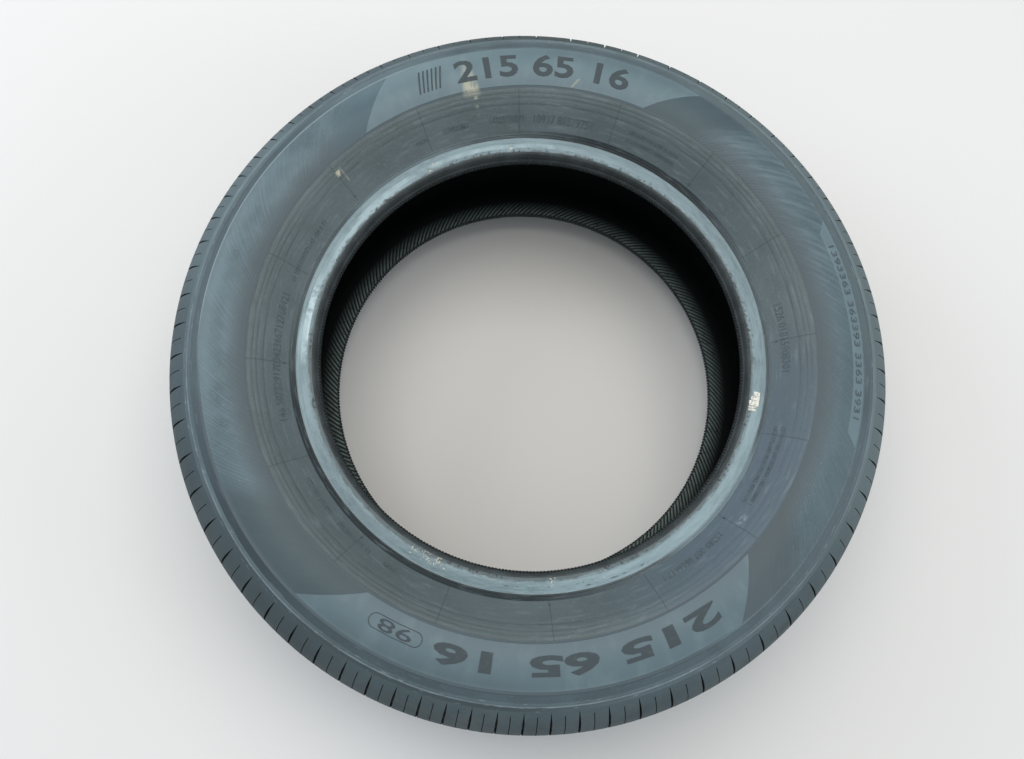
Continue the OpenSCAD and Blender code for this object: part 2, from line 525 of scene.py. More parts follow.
SMEAR = ((115.2, 118.2), (254, 300), (0.035, -0.03), 0.9)
SMEAR_WORN_R = (300, 264)
SMEAR_FOOT_R = (253, 263)
RUN_FOOT_R = (238, 256)
RUN_DROPS = 7
SMEAR_RUN = ((115.3, 116.6), (237, 262), STRAIGHT, 0.5)
DROP = ((150.4, 151.8), (247, 251), (-0.2, 0), 0.5)
DROP_TAIL = ((149.8, 150.4), (240, 252), STRAIGHT, 0.3)
THIN_STREAK = ((94.2, 95), (262, 270), (-0.15, -0.15), 0.3)

LOWER = (224, 262)
FLANGE_RING = (219.5, 222)
# a bluer tint from turn 295 round to 22; painted shade at turns 205-300 and 46-100
LOWER_TINT_AND_SHADE = (
    (((295, 22), LOWER, STRAIGHT, 28, 0.6), "#4f6170"),
    (((205, 300), LOWER, STRAIGHT, 25, 0.5), "#485256"),
    (((46, 100), LOWER, STRAIGHT, 14, 0.45), "#445054"),
)
# darker by the rim lines at turns 36-112 and 180-308; painted highlights at 314-354 and 118-158
RIM_LINES_DARK_AND_HIGHLIGHTS = (
    (((36, 112), (219.8, 225.6), STRAIGHT, 24), "#242d31"),
    (((180, 308), (220.2, 225.2), STRAIGHT, 26), "#252f33"),
    (((314, 354), (219.2, 222.6), STRAIGHT, 8, 0.8), "#768991"),
    (((118, 158), (219.5, 222.6), STRAIGHT, 8, 0.8), "#67787e"),
)
RUBBED_RINGS = ((285, 12), (RINGS[0] - 4, RINGS[-1] + 4), STRAIGHT, 18)
LOWER_SCUFF = ((331.4, 335), (239, 242.5), (0.1, 0.1), 1.4)
RING_GLINT = ((140, 215), (259.2, 260.4), STRAIGHT, 12)

# painted highlights along the rounded band: a broad one in its middle and a thin one near its outer
# edge
BEAD_HIGHLIGHT_RINGS = (
    ((211.5, 214.5, 2.5), 0.7, "#869da4"),
    ((216.8, 218.4, 0.8), 0.6, "#879ea5"),
)
BEAD_EDGE_R = (211.2, 209.6)
CHIPS_R = (211, 206)
# darker at turns 16-112 and 222-282; painted glints at 284-6 and 134-178
BEAD_DARKER_AND_GLINTS = (
    (((16, 112), (211, 219), STRAIGHT, 12, 0.3), "#5f7278"),
    (((222, 282), (211, 219), STRAIGHT, 12, 0.45), "#5f7278"),
    (((284, 6), (210, 219), STRAIGHT, 10, 0.4), "#92aab1"),
    (((134, 178), (206.5, 211), STRAIGHT, 12), "#93abb2"),
)
# painted glints and shines where the band reflects the light
LONG_GLINT = ((86, 168), (209.8, 213.4), STRAIGHT, 14)
SHORT_GLINT = ((172, 197), (209.8, 215), STRAIGHT, 6)
BEAD_PAINTED_SHINES = (
    (((182, 196), (211.5, 218), STRAIGHT, 8), "#9fb7be"),
    (((312, 335), (211.5, 218), STRAIGHT, 14), "#8fa7ae"),
)
LONG_CUT = ((288, 312), (216.3, 216.8), STRAIGHT, 2)
SHORT_CUT = ((274, 298), (213.4, 213.9), STRAIGHT, 2)
PASTE_TURNS = ((251, 262), (286, 289), (299, 302), (128, 133), (108, 110))
PASTE_RADII = (206, 214)
DARK_EDGE_TURN = 262
# radii over which the liner's ridges, with their painted highlight, fade out into painted shade
RIDGE_FADE = (219, 203)


def srgb(code):
    """The linear values that shaders take, from a colour's hex code."""
    parts = [int(code[i:i + 2], 16) / 255 for i in (1, 3, 5)]
    return [c / 12.92 if c <= 0.04045 else ((c + 0.055) / 1.055) ** 2.4 for c in parts] + [1]


class Skin:
    """One material on the tyre's own coordinates: place and radius in mm, turn in degrees."""

    def __init__(self, name):
        self.material = bpy.data.materials.new(name)
        self.material.use_nodes = True
        self.tree = self.material.node_tree
        self.tree.nodes.clear()
        spot = self.node("TexCoord", {}, "Object")
        self.at = self.node("VectorMath", {0: spot, "Scale": 1 / MM}, operation="SCALE")
        flat = self.node("VectorMath", {0: self.at, 1: (1, 1, 0)}, operation="MULTIPLY")
        self.r = self.node("VectorMath", {0: flat}, "Value", operation="LENGTH")
        x, y, z = [self.node("SeparateXYZ", {0: self.at}, axis) for axis in "XYZ"]
        self.high = self.node("Math", {0: z, 1: MID_Z}, operation="SUBTRACT")
        # the two sidewalls are alike, so the turn runs the other way round on the lower one
        side = self.node("Math", {0: self.high}, operation="SIGN")
        across = self.node("Math", {0: y, 1: side}, operation="MULTIPLY")
        angle = self.node("Math", {0: across, 1: x}, operation="ARCTAN2")
        self.turn = self.node("Math", {0: angle}, operation="DEGREES")

    def node(self, kind, inputs, out=0, **settings):
        """Adds a node with its settings, feeds its inputs and gives one of its outputs."""
        made = self.tree.nodes.new("ShaderNode" + kind)
        for name, value in settings.items():
            setattr(made, name, value)
        for key, value in inputs.items():
            if isinstance(value, bpy.types.NodeSocket):
                self.tree.links.new(value, made.inputs[key])
            else:
                made.inputs[key].default_value = value
        return made.outputs[out] if made.outputs else made

    def fade(self, value, start, end, top=1):
        """A mask that climbs from 0 to top while value runs from start to end."""
        return self.node("MapRange", {0: value, 1: start, 2: end, 4: top})

    def both(self, *masks):
        """The product of masks: it is there only where all of them are."""
        product = masks[0]
        for mask in masks[1:]:
            product = self.node("Math", {0: product, 1: mask}, operation="MULTIPLY")
        return product

    def ragged_r(self, size, depth):
        """The radius with a ragged error: patches of so many mm move it by up to half of depth."""
        noise = self.node("TexNoise", {"Vector": self.at, "Scale": 1 / size, "Detail": 4})
        return self.node("Math", {0: noise, 1: depth, 2: self.r}, operation="MULTIPLY_ADD")

    def drift(self, value, turn, depth):
        """The value moved by depth at one turn, and by as much the other way half a turn on."""
        away = self.node("Math", {0: self.past(turn, 0, 0)}, operation="RADIANS")
        swing = self.node("Math", {0: away}, operation="COSINE")
        return self.node("Math", {0: swing, 1: depth, 2: value}, operation="MULTIPLY_ADD")

    def ring(self, inner, outer, soft=0.6):
        """A mask between two radii, fading over soft mm on either side."""
        return self.both(self.fade(self.r, inner - soft, inner), self.fade(self.r, outer + soft, outer))

    def past(self, turn, r, lean):
        """Degrees past a line that crosses radius r at turn and leans by so many degrees per mm."""
        leant = self.node("Math", {0: self.r, 1: -lean, 2: self.turn}, operation="MULTIPLY_ADD")
        away = self.node("Math", {0: leant, 1: turn - lean * r}, operation="SUBTRACT")
        return self.node("Math", {0: away, 1: -180, 2: 180}, operation="WRAP")

    def patch(self, turns, radii, leans=STRAIGHT, soft=CRISP, top=1):
        """A mask over a part of the sidewall: its two ends may lean, each in its own way."""
        middle = sum(radii) / 2
        start = self.fade(self.past(turns[0], middle, leans[0]), 0, soft, top)
        end = self.fade(self.past(turns[1], middle, leans[1]), 0, -soft)
        return self.both(start, end, self.ring(*radii))

    def coats(self, places):
        """One coat of colour for each place of a table."""
        return [(self.patch(*where), shade) for where, shade in places]

    def cloud(self, size, low, high, top=1, at=None, detail=3):
        """A noise mask: size is about the width of its patches in mm, low and high are its levels."""
        noise = self.node("TexNoise", {"Vector": at or self.at, "Scale": 1 / size, "Detail": detail})
        return self.fade(noise, low, high, top)

    def streaks(self, lean, stretch):
        """Coordinates in mm across leaning lines, drawn out along them by the factor stretch."""
        leant = self.node("Math", {0: self.r, 1: -lean, 2: self.turn}, operation="MULTIPLY_ADD")
        angle = self.node("Math", {0: leant}, operation="RADIANS")
        x, y = [self.node("Math", {0: angle}, operation=way) for way in ("COSINE", "SINE")]
        along = self.node("Math", {0: self.r, 1: STREAK_R * stretch}, operation="DIVIDE")
        line = self.node("CombineXYZ", {0: x, 1: y, 2: along})
        return self.node("VectorMath", {0: line, "Scale": STREAK_R}, operation="SCALE")

    def rounds(self, stretch):
        """Coordinates in mm across rings round the axle line, drawn out along them."""
        parts = self.node("VectorMath", {0: self.at, "Scale": 1 / stretch}, operation="SCALE")
        x, y = [self.node("SeparateXYZ", {0: parts}, axis) for axis in "XY"]
        return self.node("CombineXYZ", {0: x, 1: y, 2: self.r})

    def waves(self, count, lean):
        """A wave with so many ridges round the tyre, leaning by so many degrees per mm."""
        leant = self.node("Math", {0: self.r, 1: -lean, 2: self.turn}, operation="MULTIPLY_ADD")
        angle = self.node("Math", {0: leant, 1: math.radians(count)}, operation="MULTIPLY")
        return self.node("Math", {0: angle}, operation="SINE")

    def waves_along(self, length):
        """A wave along the radius, so many mm long."""
        angle = self.node("Math", {0: self.r, 1: math.tau / length}, operation="MULTIPLY")
        return self.node("Math", {0: angle}, operation="SINE")

    def stack(self, base, coats):
        """Lays coats, each a mask and a colour, over a base colour."""
        for mask, colour in coats:
            base = self.node("Mix", {0: mask, 6: base, 7: srgb(colour)}, 2, data_type="RGBA")
        return base

    def done(self, colour, rough, bumps=(), sheen=0.35):
        """Closes the material: colour, roughness, and bumps that are each a height mask and mm deep."""
        inputs = {"Base Color": colour, "Roughness": rough, "Specular IOR Level": sheen}
        for height, depth in bumps:
            relief = {"Height": height, "Distance": depth * MM}
            if "Normal" in inputs:
                relief["Normal"] = inputs["Normal"]
            inputs["Normal"] = self.node("Bump", relief)
        self.node("OutputMaterial", {"Surface": self.node("BsdfPrincipled", inputs)})
        return self.material


def aged(skin, rubber, dust, shade):
    """Old rubber: broad clouds of dust, smaller darker mottling, grain and specks, coarse to show."""
    return skin.stack(srgb(rubber), [
        (skin.cloud(120, 0.4, 0.7, 0.55), dust),
        (skin.cloud(26, 0.48, 0.75, 0.45), shade),
        (skin.cloud(2.4, 0.5, 0.75, 0.3), dust),
        (skin.both(skin.cloud(1.6, 0.68, 0.73, 0.55), skin.cloud(35, 0.4, 0.6)), "#94a2a4"),
    ])


def tread_rubber():
    """Road wear polishes the tread blocks and dries them to a dull, slightly brown grey."""
    skin = Skin("tread_rubber_worn_by_road")
    dried = skin.both(skin.cloud(9, 0.55, 0.8, 0.5, skin.rounds(6)), skin.fade(skin.r, *TREAD_DRY_R))
    colour = skin.stack(aged(skin, "#49565a", "#606c70", "#3d484c"), [
        (dried, "#6c706d"),
        (skin.fade(skin.r, *TREAD_PALE_R, 0.55), "#506167"),
        # dust, painted shade and painted light at places round the tread
        *skin.coats(TREAD_DUST_SHADE_AND_LIGHT),
    ])
    scuffs = skin.cloud(1.6, 0.4, 0.7, 1, skin.rounds(8))
    return skin.done(colour, 0.75, [(scuffs, 0.12)], 0.15)


def groove_rubber():
    """Grooves and slots keep the moulded skin: unworn, and dark with dust packed in their floors."""
    skin = Skin("groove_rubber_as_moulded")
    colour = skin.stack(srgb("#23292b"), [(skin.cloud(5, 0.5, 0.8, 0.5), "#3f4747")])
    return skin.done(colour, 0.75)


def shoulder_rubber():
    """The shoulder below the slots is moulded smooth and scuffed by kerbs: lighter, short scrapes."""
    skin = Skin("shoulder_rubber_moulded_and_scuffed")
    # a painted highlight along the outer rib, lighter all round and strongest from turn 165 to 345,
    # with scuffs
    rib_highlight = skin.ring(*about(OUTER_RIB_R), 0.4)
    colour = skin.stack(aged(skin, "#4f6066", "#64757b", "#425055"), [
        # painted shade, painted light and dust on the shoulder
        *skin.coats(SHOULDER_SHADE_LIGHT_AND_DUST),
        (skin.both(rib_highlight, skin.cloud(40, 0.3, 0.6, 0.4)), "#7f9096"),
        (skin.both(skin.patch(*OUTER_RIB_HIGHLIGHT_AND_SCUFFS), skin.cloud(14, 0.4, 0.65, 0.5)), "#778990"),
        (skin.cloud(2, 0.62, 0.72, 0.5, skin.rounds(5)), "#8b979a"),
    ])
    return skin.done(colour, 0.55, [(skin.cloud(3, 0.4, 0.7), 0.1)])


def plain_band_rubber():
    """The plain band is the print of polished steel: smooth, a little darker and glossier."""
    skin = Skin("band_rubber_moulded_on_polished_steel")
    colour = skin.stack(aged(skin, "#44545a", "#576970", "#3a474c"), [
        # painted shade and painted light on the plain band
        *skin.coats(BAND_SHADE_AND_LIGHT),
        (skin.cloud(3, 0.6, 0.75, 0.35, skin.rounds(10)), "#77868b"),
    ])
    return skin.done(colour, 0.46)


def catching(skin, ridges, cloud, side):
    """Painted sheen: serrations drawn lighter where they catch the light on one side, broken up by a
    cloud.
    """
    return skin.both(skin.fade(skin.waves(ridges, LEAN), -0.2, 1), cloud, side)


def added(skin, coats):
    """The sum of the coats' masks."""
    total = coats[0][0]
    for mask, _ in coats[1:]:
        total = skin.node("Math", {0: total, 1: mask}, operation="ADD")
    return total


def decor_rubber():
    """Fine slanted serrations with leaning streaks of painted sheen; between them lie smooth panels."""
    skin = Skin("sidewall_rubber_moulded_on_serrated_steel")
    panels = skin.coats(PANELS)
    dull = skin.coats(DULL_WEDGES)
    bright = skin.patch(*STRONG_SHEEN_SIDE)
    pale = skin.patch(*SOFT_SHEEN_SIDE)
    lines = skin.streaks(LEAN, 5)
    smooth = added(skin, panels)
    wiped = skin.cloud(14, 0.5, 0.8, 0.35, skin.streaks(-0.02, 2))
    inside = skin.ring(PANEL_R + 1, PANEL_TOP_R - 1, 4)
    colour = skin.stack(aged(skin, "#4c5e65", "#61747b", "#445359"), [
        # painted sheen: light streaks along the serrations, strong on one side, soft with lighter
        # clouds on the other
        (catching(skin, STRONG_SHEEN_RIDGES, skin.cloud(9, 0.4, 0.7, 0.36, lines), bright), "#72868e"),
        (skin.both(skin.cloud(7, 0.45, 0.65, 0.36, skin.streaks(LEAN, 3)), bright), "#6c8088"),
        (skin.cloud(3, 0.45, 0.75, 0.22, lines), "#6b7f87"),
        # a painted glow of light on the outer decor
        (skin.both(skin.patch(*PAINTED_GLOW), skin.fade(skin.r, *PAINTED_GLOW_R, 0.35)), "#76898f"),
        (catching(skin, SOFT_SHEEN_RIDGES, skin.cloud(8, 0.45, 0.7, 0.26, lines), pale), "#76898f"),
        (skin.both(skin.cloud(18, 0.4, 0.7, 0.4), pale), "#687c84"),
        (skin.fade(skin.r, *DECOR_SHADE_R, 0.8), "#445258"),
        *dull,
        *panels,
        (skin.both(skin.fade(smooth, 0, 1), inside, wiped), "#7a8e93"),
        (skin.fade(skin.r, *DECOR_FOOT_R, 0.2), "#445258"),
        # painted shade and painted light on the outer decor
        *[(skin.both(mask, skin.fade(skin.r, *PANEL_SHADE_AND_LIGHT_R)), shade)
          for mask, shade in skin.coats(PANEL_PAINTED_SHADE_AND_LIGHT)],
        (drips(skin), "#b1b19c"),
        # the inner rib, darker on one part and with a painted glint on another
        *skin.coats(INNER_RIB_DARK_AND_GLINT),
    ])
    # the real serrations are 1 mm apart; these are drawn 4 mm apart, coarse enough to show
    ridged = skin.fade(added(skin, panels + dull), 0.6, 0)
    ridges = skin.both(ridged, skin.waves(SERRATIONS, LEAN))
    return skin.done(colour, 0.5, [(ridges, 0.05), (smooth, 0.3)])


def drips(skin):
    """A thin cream smear that ran down the sidewall, ragged and half worn off, and drops beside it."""
    ragged = skin.cloud(3.5, 0.3, 0.5, 1, skin.streaks(0, 3))
    worn_up = skin.fade(skin.r, *SMEAR_WORN_R, 0.75)
    smear = skin.both(skin.patch(*SMEAR), worn_up, skin.fade(skin.r, *SMEAR_FOOT_R))
    spaced = skin.fade(skin.waves_along(RUN_DROPS), 0, 0.8)
    beads = skin.both(skin.patch(*SMEAR_RUN), spaced, skin.fade(skin.r, *RUN_FOOT_R))
    drop, tail, streak = [skin.patch(*where) for where in (DROP, DROP_TAIL, THIN_STREAK)]
    either = smear
    for part, strength in ((beads, 0.8), (drop, 1), (tail, 0.4), (streak, 0.35)):
        part = skin.node("Math", {0: part, 1: strength}, operation="MULTIPLY")
        either = skin.node("Math", {0: either, 1: part}, operation="MAXIMUM")
    return skin.both(either, ragged, skin.fade(skin.high, 0, 1))


def seam_lines(skin):
    """The fine radial lines where the segments of the mould met."""
    ends = {1: SEAM_FROM - SEAM_STEP / 2, 2: SEAM_FROM + SEAM_STEP / 2}
    apart = skin.node("Math", {0: skin.turn, **ends}, operation="WRAP")
    off = skin.node("Math", {0: apart, 1: SEAM_FROM}, operation="SUBTRACT")
    near = skin.node("Math", {0: off}, operation="ABSOLUTE")
    return skin.both(skin.fade(near, 0.16, 0.1, 0.35), skin.ring(*SEAM_RADII))


def lower_rubber():
    """The lower sidewall is moulded plain with turned rings and the mould's radial parting lines."""
    skin = Skin("lower_sidewall_rubber_moulded_with_rings")
    seam = seam_lines(skin)
    kept = skin.fade(skin.patch(*RUBBED_RINGS), 1.25, 0)
    worn_and_lit = skin.both(skin.cloud(30, 0.3, 0.7, 0.6), kept)
    colour = skin.stack(aged(skin, "#525f62", "#68767a", "#495457"), [
        # a bluer tint and painted shade on the lower sidewall
        *skin.coats(LOWER_TINT_AND_SHADE),
        (skin.ring(*FLANGE_RING, 0.8), "#4c585d"),
        # darker stretches and painted highlights by the rim lines
        *skin.coats(RIM_LINES_DARK_AND_HIGHLIGHTS),
        (skin.cloud(2.5, 0.55, 0.75, 0.35, skin.rounds(8)), "#77868c"),
        (skin.both(skin.patch(*LOWER_SCUFF), skin.cloud(3, 0.38, 0.62, 0.75)), "#8d9fa6"),
        (seam, "#30383b"),
        (drips(skin), "#b1b19c"),
        (skin.both(skin.patch(*RING_GLINT), skin.cloud(20, 0.3, 0.5, 0.7)), "#84959b"),
        *[(skin.both(skin.ring(*about(r), 0.4), worn_and_lit), "#3d474a") for r in RINGS],
    ])
    return skin.done(colour, 0.52, [(skin.cloud(1.8, 0.4, 0.7), 0.08), (seam, 0.2)])


def bead_coats(skin):
    """The bead band's marks from the rim and the fitting, with painted highlights and glints, from the
    ground up.
    """
    long_glint = skin.both(skin.patch(*LONG_GLINT), skin.cloud(14, 0.3, 0.6, 0.75))
    short_glint = skin.both(skin.patch(*SHORT_GLINT), skin.cloud(7, 0.3, 0.55))
    edge = skin.drift(skin.ragged_r(7, 6), DARK_EDGE_TURN, -1)
    return [
        (skin.cloud(45, 0.42, 0.68, 0.7), "#677c83"),
        (skin.cloud(9, 0.45, 0.7, 0.5, skin.rounds(5)), "#859ba2"),
        (skin.cloud(1.5, 0.55, 0.7, 0.5, skin.rounds(12)), "#54656a"),
        (skin.cloud(5, 0.52, 0.68, 0.45, skin.rounds(2.5)), "#56676c"),
        (skin.cloud(2.2, 0.6, 0.72, 0.5), "#97abb0"),
        # painted highlights along the band
        *[(skin.both(skin.ring(*ring), skin.cloud(40, 0.35, 0.6, top)), shade)
          for ring, top, shade in BEAD_HIGHLIGHT_RINGS],
        # darker stretches, then painted glints and shines
        *skin.coats(BEAD_DARKER_AND_GLINTS),
        (long_glint, "#9eb5bb"),
        (short_glint, "#b4cbd0"),
        *skin.coats(BEAD_PAINTED_SHINES),
        (skin.fade(edge, *BEAD_EDGE_R, 0.8), "#465256"),
        (skin.both(skin.patch(*LONG_CUT), skin.cloud(7, 0.5, 0.58, 0.65)), "#2c373c"),
        (skin.both(skin.patch(*SHORT_CUT), skin.cloud(6, 0.54, 0.6, 0.5)), "#34403f"),
    ]


def dried_paste(skin, turns):
    """A crumbly rest of bead paste between two turns."""
    crumbs = skin.cloud(1.9, 0.52, 0.64, 0.75)
    return skin.both(skin.patch(turns, PASTE_RADII, STRAIGHT, 1), crumbs, skin.cloud(6, 0.42, 0.55))


def bead_rubber():
    """The rim pressed this band smooth and pale; mounting left chips, scores and dried bead paste;
    glints are painted.
    """
    skin = Skin("bead_rubber_pressed_by_the_rim")
    crumbled = skin.cloud(3, 0.57, 0.63, 0.9)
    chips = skin.both(crumbled, skin.fade(skin.r, *CHIPS_R), skin.cloud(40, 0.45, 0.55))
    colour = skin.stack(srgb("#72888f"), [
        *bead_coats(skin),
        (chips, "#2f3739"),
        *[(dried_paste(skin, turns), "#c9c8b6") for turns in PASTE_TURNS],
    ])
    swells = skin.cloud(6, 0.35, 0.7, 1, skin.rounds(3))
    return skin.done(colour, 0.36, [(swells, 0.35), (chips, -0.4)])


def toe_rubber():
    """The toe of the bead is rubbed dark and dull by the tyre lever, and its grey dust is patchy."""
    skin = Skin("toe_rubber_rubbed_by_the_lever")
    colour = skin.stack(srgb("#2f3739"), [
        (skin.cloud(6, 0.4, 0.7, 0.6, skin.rounds(3)), "#495255"),
        (skin.cloud(1.8, 0.6, 0.7, 0.5), "#5c6668"),
    ])
    return skin.done(colour, 0.6, [(skin.cloud(2, 0.4, 0.7), 0.15)])


def teeth_rubber():
    """The teeth are painted darker than the toe, as painted shade, with a little dust."""
    skin = Skin("teeth_rubber_painted_dark_as_shade")
    colour = skin.stack(srgb("#23292a"), [(skin.cloud(3, 0.5, 0.7, 0.5), "#3a4244")])
    return skin.done(colour, 0.8, (), 0.1)


def liner_rubber():
    """The liner was cured against a grooved bladder: nearly black, with slanted ridges by the beads."""
    skin = Skin("liner_rubber_cured_on_a_bladder")
    # the ridges' lighter tops are a painted highlight; away from the bead they fade out as painted
    # shade
    near = skin.fade(skin.r, *RIDGE_FADE)
    ridges = skin.waves(LINER_RIDGES, LINER_LEAN)
    worn_and_lit = skin.both(skin.fade(ridges, -0.75, 0.1), near, skin.cloud(5, 0.1, 0.5))
    colour = skin.stack(srgb("#1a1f20"), [
        (skin.cloud(30, 0.5, 0.8, 0.3), "#25292a"),
        (worn_and_lit, "#71827f"),
    ])
    return skin.done(colour, 0.55, [(skin.both(ridges, near), 0.35)])


def lettering_rubber():
    """Numerals are moulded from blasted steel: matt, so they read darker than the smooth panel."""
    skin = Skin("numeral_rubber_moulded_on_blasted_steel")
    colour = skin.stack(srgb("#414b4f"), [(skin.cloud(4, 0.55, 0.75, 0.4), "#566266")])
    return skin.done(colour, 0.8)


def print_rubber():
    """The small print stands up a hair and is wiped clean on top: a little darker than its ground."""
    skin = Skin("small_print_rubber_moulded_fine")
    colour = skin.stack(srgb("#465156"), [(skin.cloud(6, 0.4, 0.7, 0.8), "#58656a")])
    return skin.done(colour, 0.6)


def label_paper():
    """Scraps of a torn paper label, dirty at their edges."""
    skin = Skin("label_paper_torn_off")
    colour = skin.stack(srgb("#e6e6dc"), [(skin.cloud(1.8, 0.5, 0.66, 0.75), "#9aa29f")])
    return skin.done(colour, 0.85)


# --- pieces ------------------------------------------------------------------------------------

# raised work: how proud it stands, how near points merge, the strips that bend, steps of a curve,
# and how much heavy strokes are thickened
PROUD = 0.35
MERGE = 0.01
BEND_STEP = 3
CURVE_STEPS = 3
HEAVY = 0.035

# numerals: name, signs, end turns, radii, and how much their strokes are thickened
NUMERALS = (
    ("upper_numerals", "215 65 16", (84, 119), (269, 293), 0.02),
    ("lower_numerals", "215 65", (282, 317), (270, 288.3), HEAVY),
    ("rim_numerals", "16", (265, 275.5), (270, 288.3), HEAVY),
    ("short_number", "98", (254.6, 261), (271.5, 281.7), 0.0),
)

BARS = 6
BAR = (1.5, 23, 2 * PROUD)
BAR_PITCH = 4.2
BAR_LEAN = 0.3
BARS_AT = (124.2, 281)

OVAL_END_R = 6.4
OVAL_HALF_L = 18
OVAL_STEPS = 64
OVAL_AT = (257.8, 276.6)

# small print: start turn, end turn, distance up from the print's radius, height
PRINT_R = 235
PRINT_SIGN_W = 1.3
PRINT_ROWS = (
    (9, 25, 0, 6), (67.5, 80, -1.5, 3), (67.5, 80, 4.5, 3), (89, 103, 0, 6), (105.5, 113.5, 0, 5),
    (119, 125, 0, 4), (129, 132, -1, 3), (161, 177, -2, 3.5), (180.5, 210, 0, 6), (224, 233, -1, 4),
    (236, 245, -1, 4), (249, 252, -1, 4), (312, 328, 0, 5), (337, 356, -2, 3), (337, 356, 3.5, 3),
)
STRIP_TURNS = (0.5, 33)
STRIP_RADII = (293.3, 299.3)

TEETH = 400
TOOTH = (1.4, 1.6, 4)
TOOTH_R = TOE_R + 0.3
TOOTH_W = TOE_W + 0.6

STUBS = 8
STUB_UP = -6
STUB_FOOT_R = 0.8
STUB_TIP_R = 0.5
STUB_L = 1.6

# label scraps: width round the tyre, height across the band, distance up
SCRAPS = ((3.6, 5.5, 1.4), (3.2, 7.5, 0.6), (4.6, 8.5, 0), (1.7, 7.5, -0.6), (1.6, 6.5, -0.8))
SCRAPS_FROM = -9.5
SCRAP_GAP = 0.9
SCRAP_T = 0.16
SCRAP_LIFT = 0.5
SCRAP_TILT = 7
SCRAP_RAGGED = 0.35
LABEL_TURN = 1.2
LABEL_R = 210.8

CRISP_EDGE_A = 38


def show(name, bm, materials):
    """Makes a piece of the tyre, which stands in for its CAD node and moves with it."""
    mesh = bpy.data.meshes.new(name)
    bm.to_mesh(mesh)
    bm.free()
    for material in materials:
        mesh.materials.append(material)
    piece = bpy.data.objects.new(name, mesh)
    bpy.context.scene.collection.objects.link(piece)
    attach(piece, "root")
    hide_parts("tyre")
    return piece


def lay(bm, turn, r):
    """Lays flat work on the upper sidewall: x runs clockwise, y outward and z off the rubber, in mm."""
    ground = -PANEL_SUNK if PANEL_R < r < INNER_RIB_R else 0
    for v in bm.verts:
        at = outside(r + v.co.y, v.co.z + ground)
        v.co = place(turn - math.degrees(v.co.x / r), *at)


def on_both_sides(bm):
    """Copies work from the upper side to the lower side by half a turn round the X axis."""
    copy = bmesh.ops.duplicate(bm, geom=bm.verts[:] + bm.edges[:] + bm.faces[:])["geom"]
    turned = [g for g in copy if isinstance(g, bmesh.types.BMVert)]
    half_turn = Matrix.Rotation(math.pi, 3, "X")
    bmesh.ops.rotate(bm, verts=turned, cent=(0, 0, MID_Z * MM), matrix=half_turn)


def block(bm, size, at, turn=0):
    """A flat-sided block of so many mm, its middle at a place in mm, turned about Z."""
    turned = Matrix.Translation(at) @ Matrix.Rotation(math.radians(turn), 4, "Z")
    return bmesh.ops.create_cube(bm, size=1, matrix=turned @ Matrix.Diagonal((*size, 1)))["verts"]


def cut_across(bm, half, step):
    """Cuts flat work into strips along y, so that it can bend over the round sidewall."""
    y = -half + step
    while y < half:
        everything = bm.verts[:] + bm.edges[:] + bm.faces[:]
        bmesh.ops.bisect_plane(bm, geom=everything, dist=1e-5, plane_co=(0, y, 0), plane_no=(0, 1, 0))
        y += step


def numerals(body, size, weight):
    """Plain numerals of so many mm across and up, as a flat closed solid about the origin."""
    curve = bpy.data.curves.new("numerals", "FONT")
    curve.body = body
    curve.resolution_u = CURVE_STEPS
    curve.offset = weight
    curve.extrude = PROUD
    text = bpy.data.objects.new("numerals", curve)
    bpy.context.scene.collection.objects.link(text)
    bpy.context.view_layer.update()
    mesh = bpy.data.meshes.new_from_object(text)
    bpy.data.objects.remove(text)
    bm = bmesh.new()
    bm.from_mesh(mesh)
    bpy.data.meshes.remove(mesh)
    low = [min(v.co[i] for v in bm.verts) for i in range(3)]
    high = [max(v.co[i] for v in bm.verts) for i in range(3)]
    for v in bm.verts:
        for i, length in enumerate((*size, 2 * PROUD)):
            v.co[i] = ((v.co[i] - low[i]) / (high[i] - low[i]) - 0.5) * length
    bmesh.ops.remove_doubles(bm, verts=bm.verts, dist=MERGE)
    cut_across(bm, size[1] / 2, BEND_STEP)
    return bm


def gather(bm, other):
    """Adds all of another bmesh to this one."""
    mesh = bpy.data.meshes.new("gathered")
    other.to_mesh(mesh)
    other.free()
    bm.from_mesh(mesh)
    bpy.data.meshes.remove(mesh)


def set_of_numerals(name, body, turns, radii, weight, material):
    """Numerals between two turns, read clockwise, and two radii, on both sidewalls."""
    r = sum(radii) / 2
    wide = math.radians(turns[1] - turns[0]) * r
    bm = numerals(body, (wide, radii[1] - radii[0]), weight)
    lay(bm, sum(turns) / 2, r)
    on_both_sides(bm)
    show(name, bm, [material])


def slanted_bars(material):
    """Plain slanted bars beside the upper numerals."""
    bm = bmesh.new()
    for i in range(BARS):
        verts = block(bm, BAR, ((i - (BARS - 1) / 2) * BAR_PITCH, 0, 0))
        for v in verts:
            v.co.x += BAR_LEAN * v.co.y
    cut_across(bm, BAR[1] / 2, BEND_STEP)
    lay(bm, *BARS_AT)
    on_both_sides(bm)
    show("slanted_bars", bm, [material])


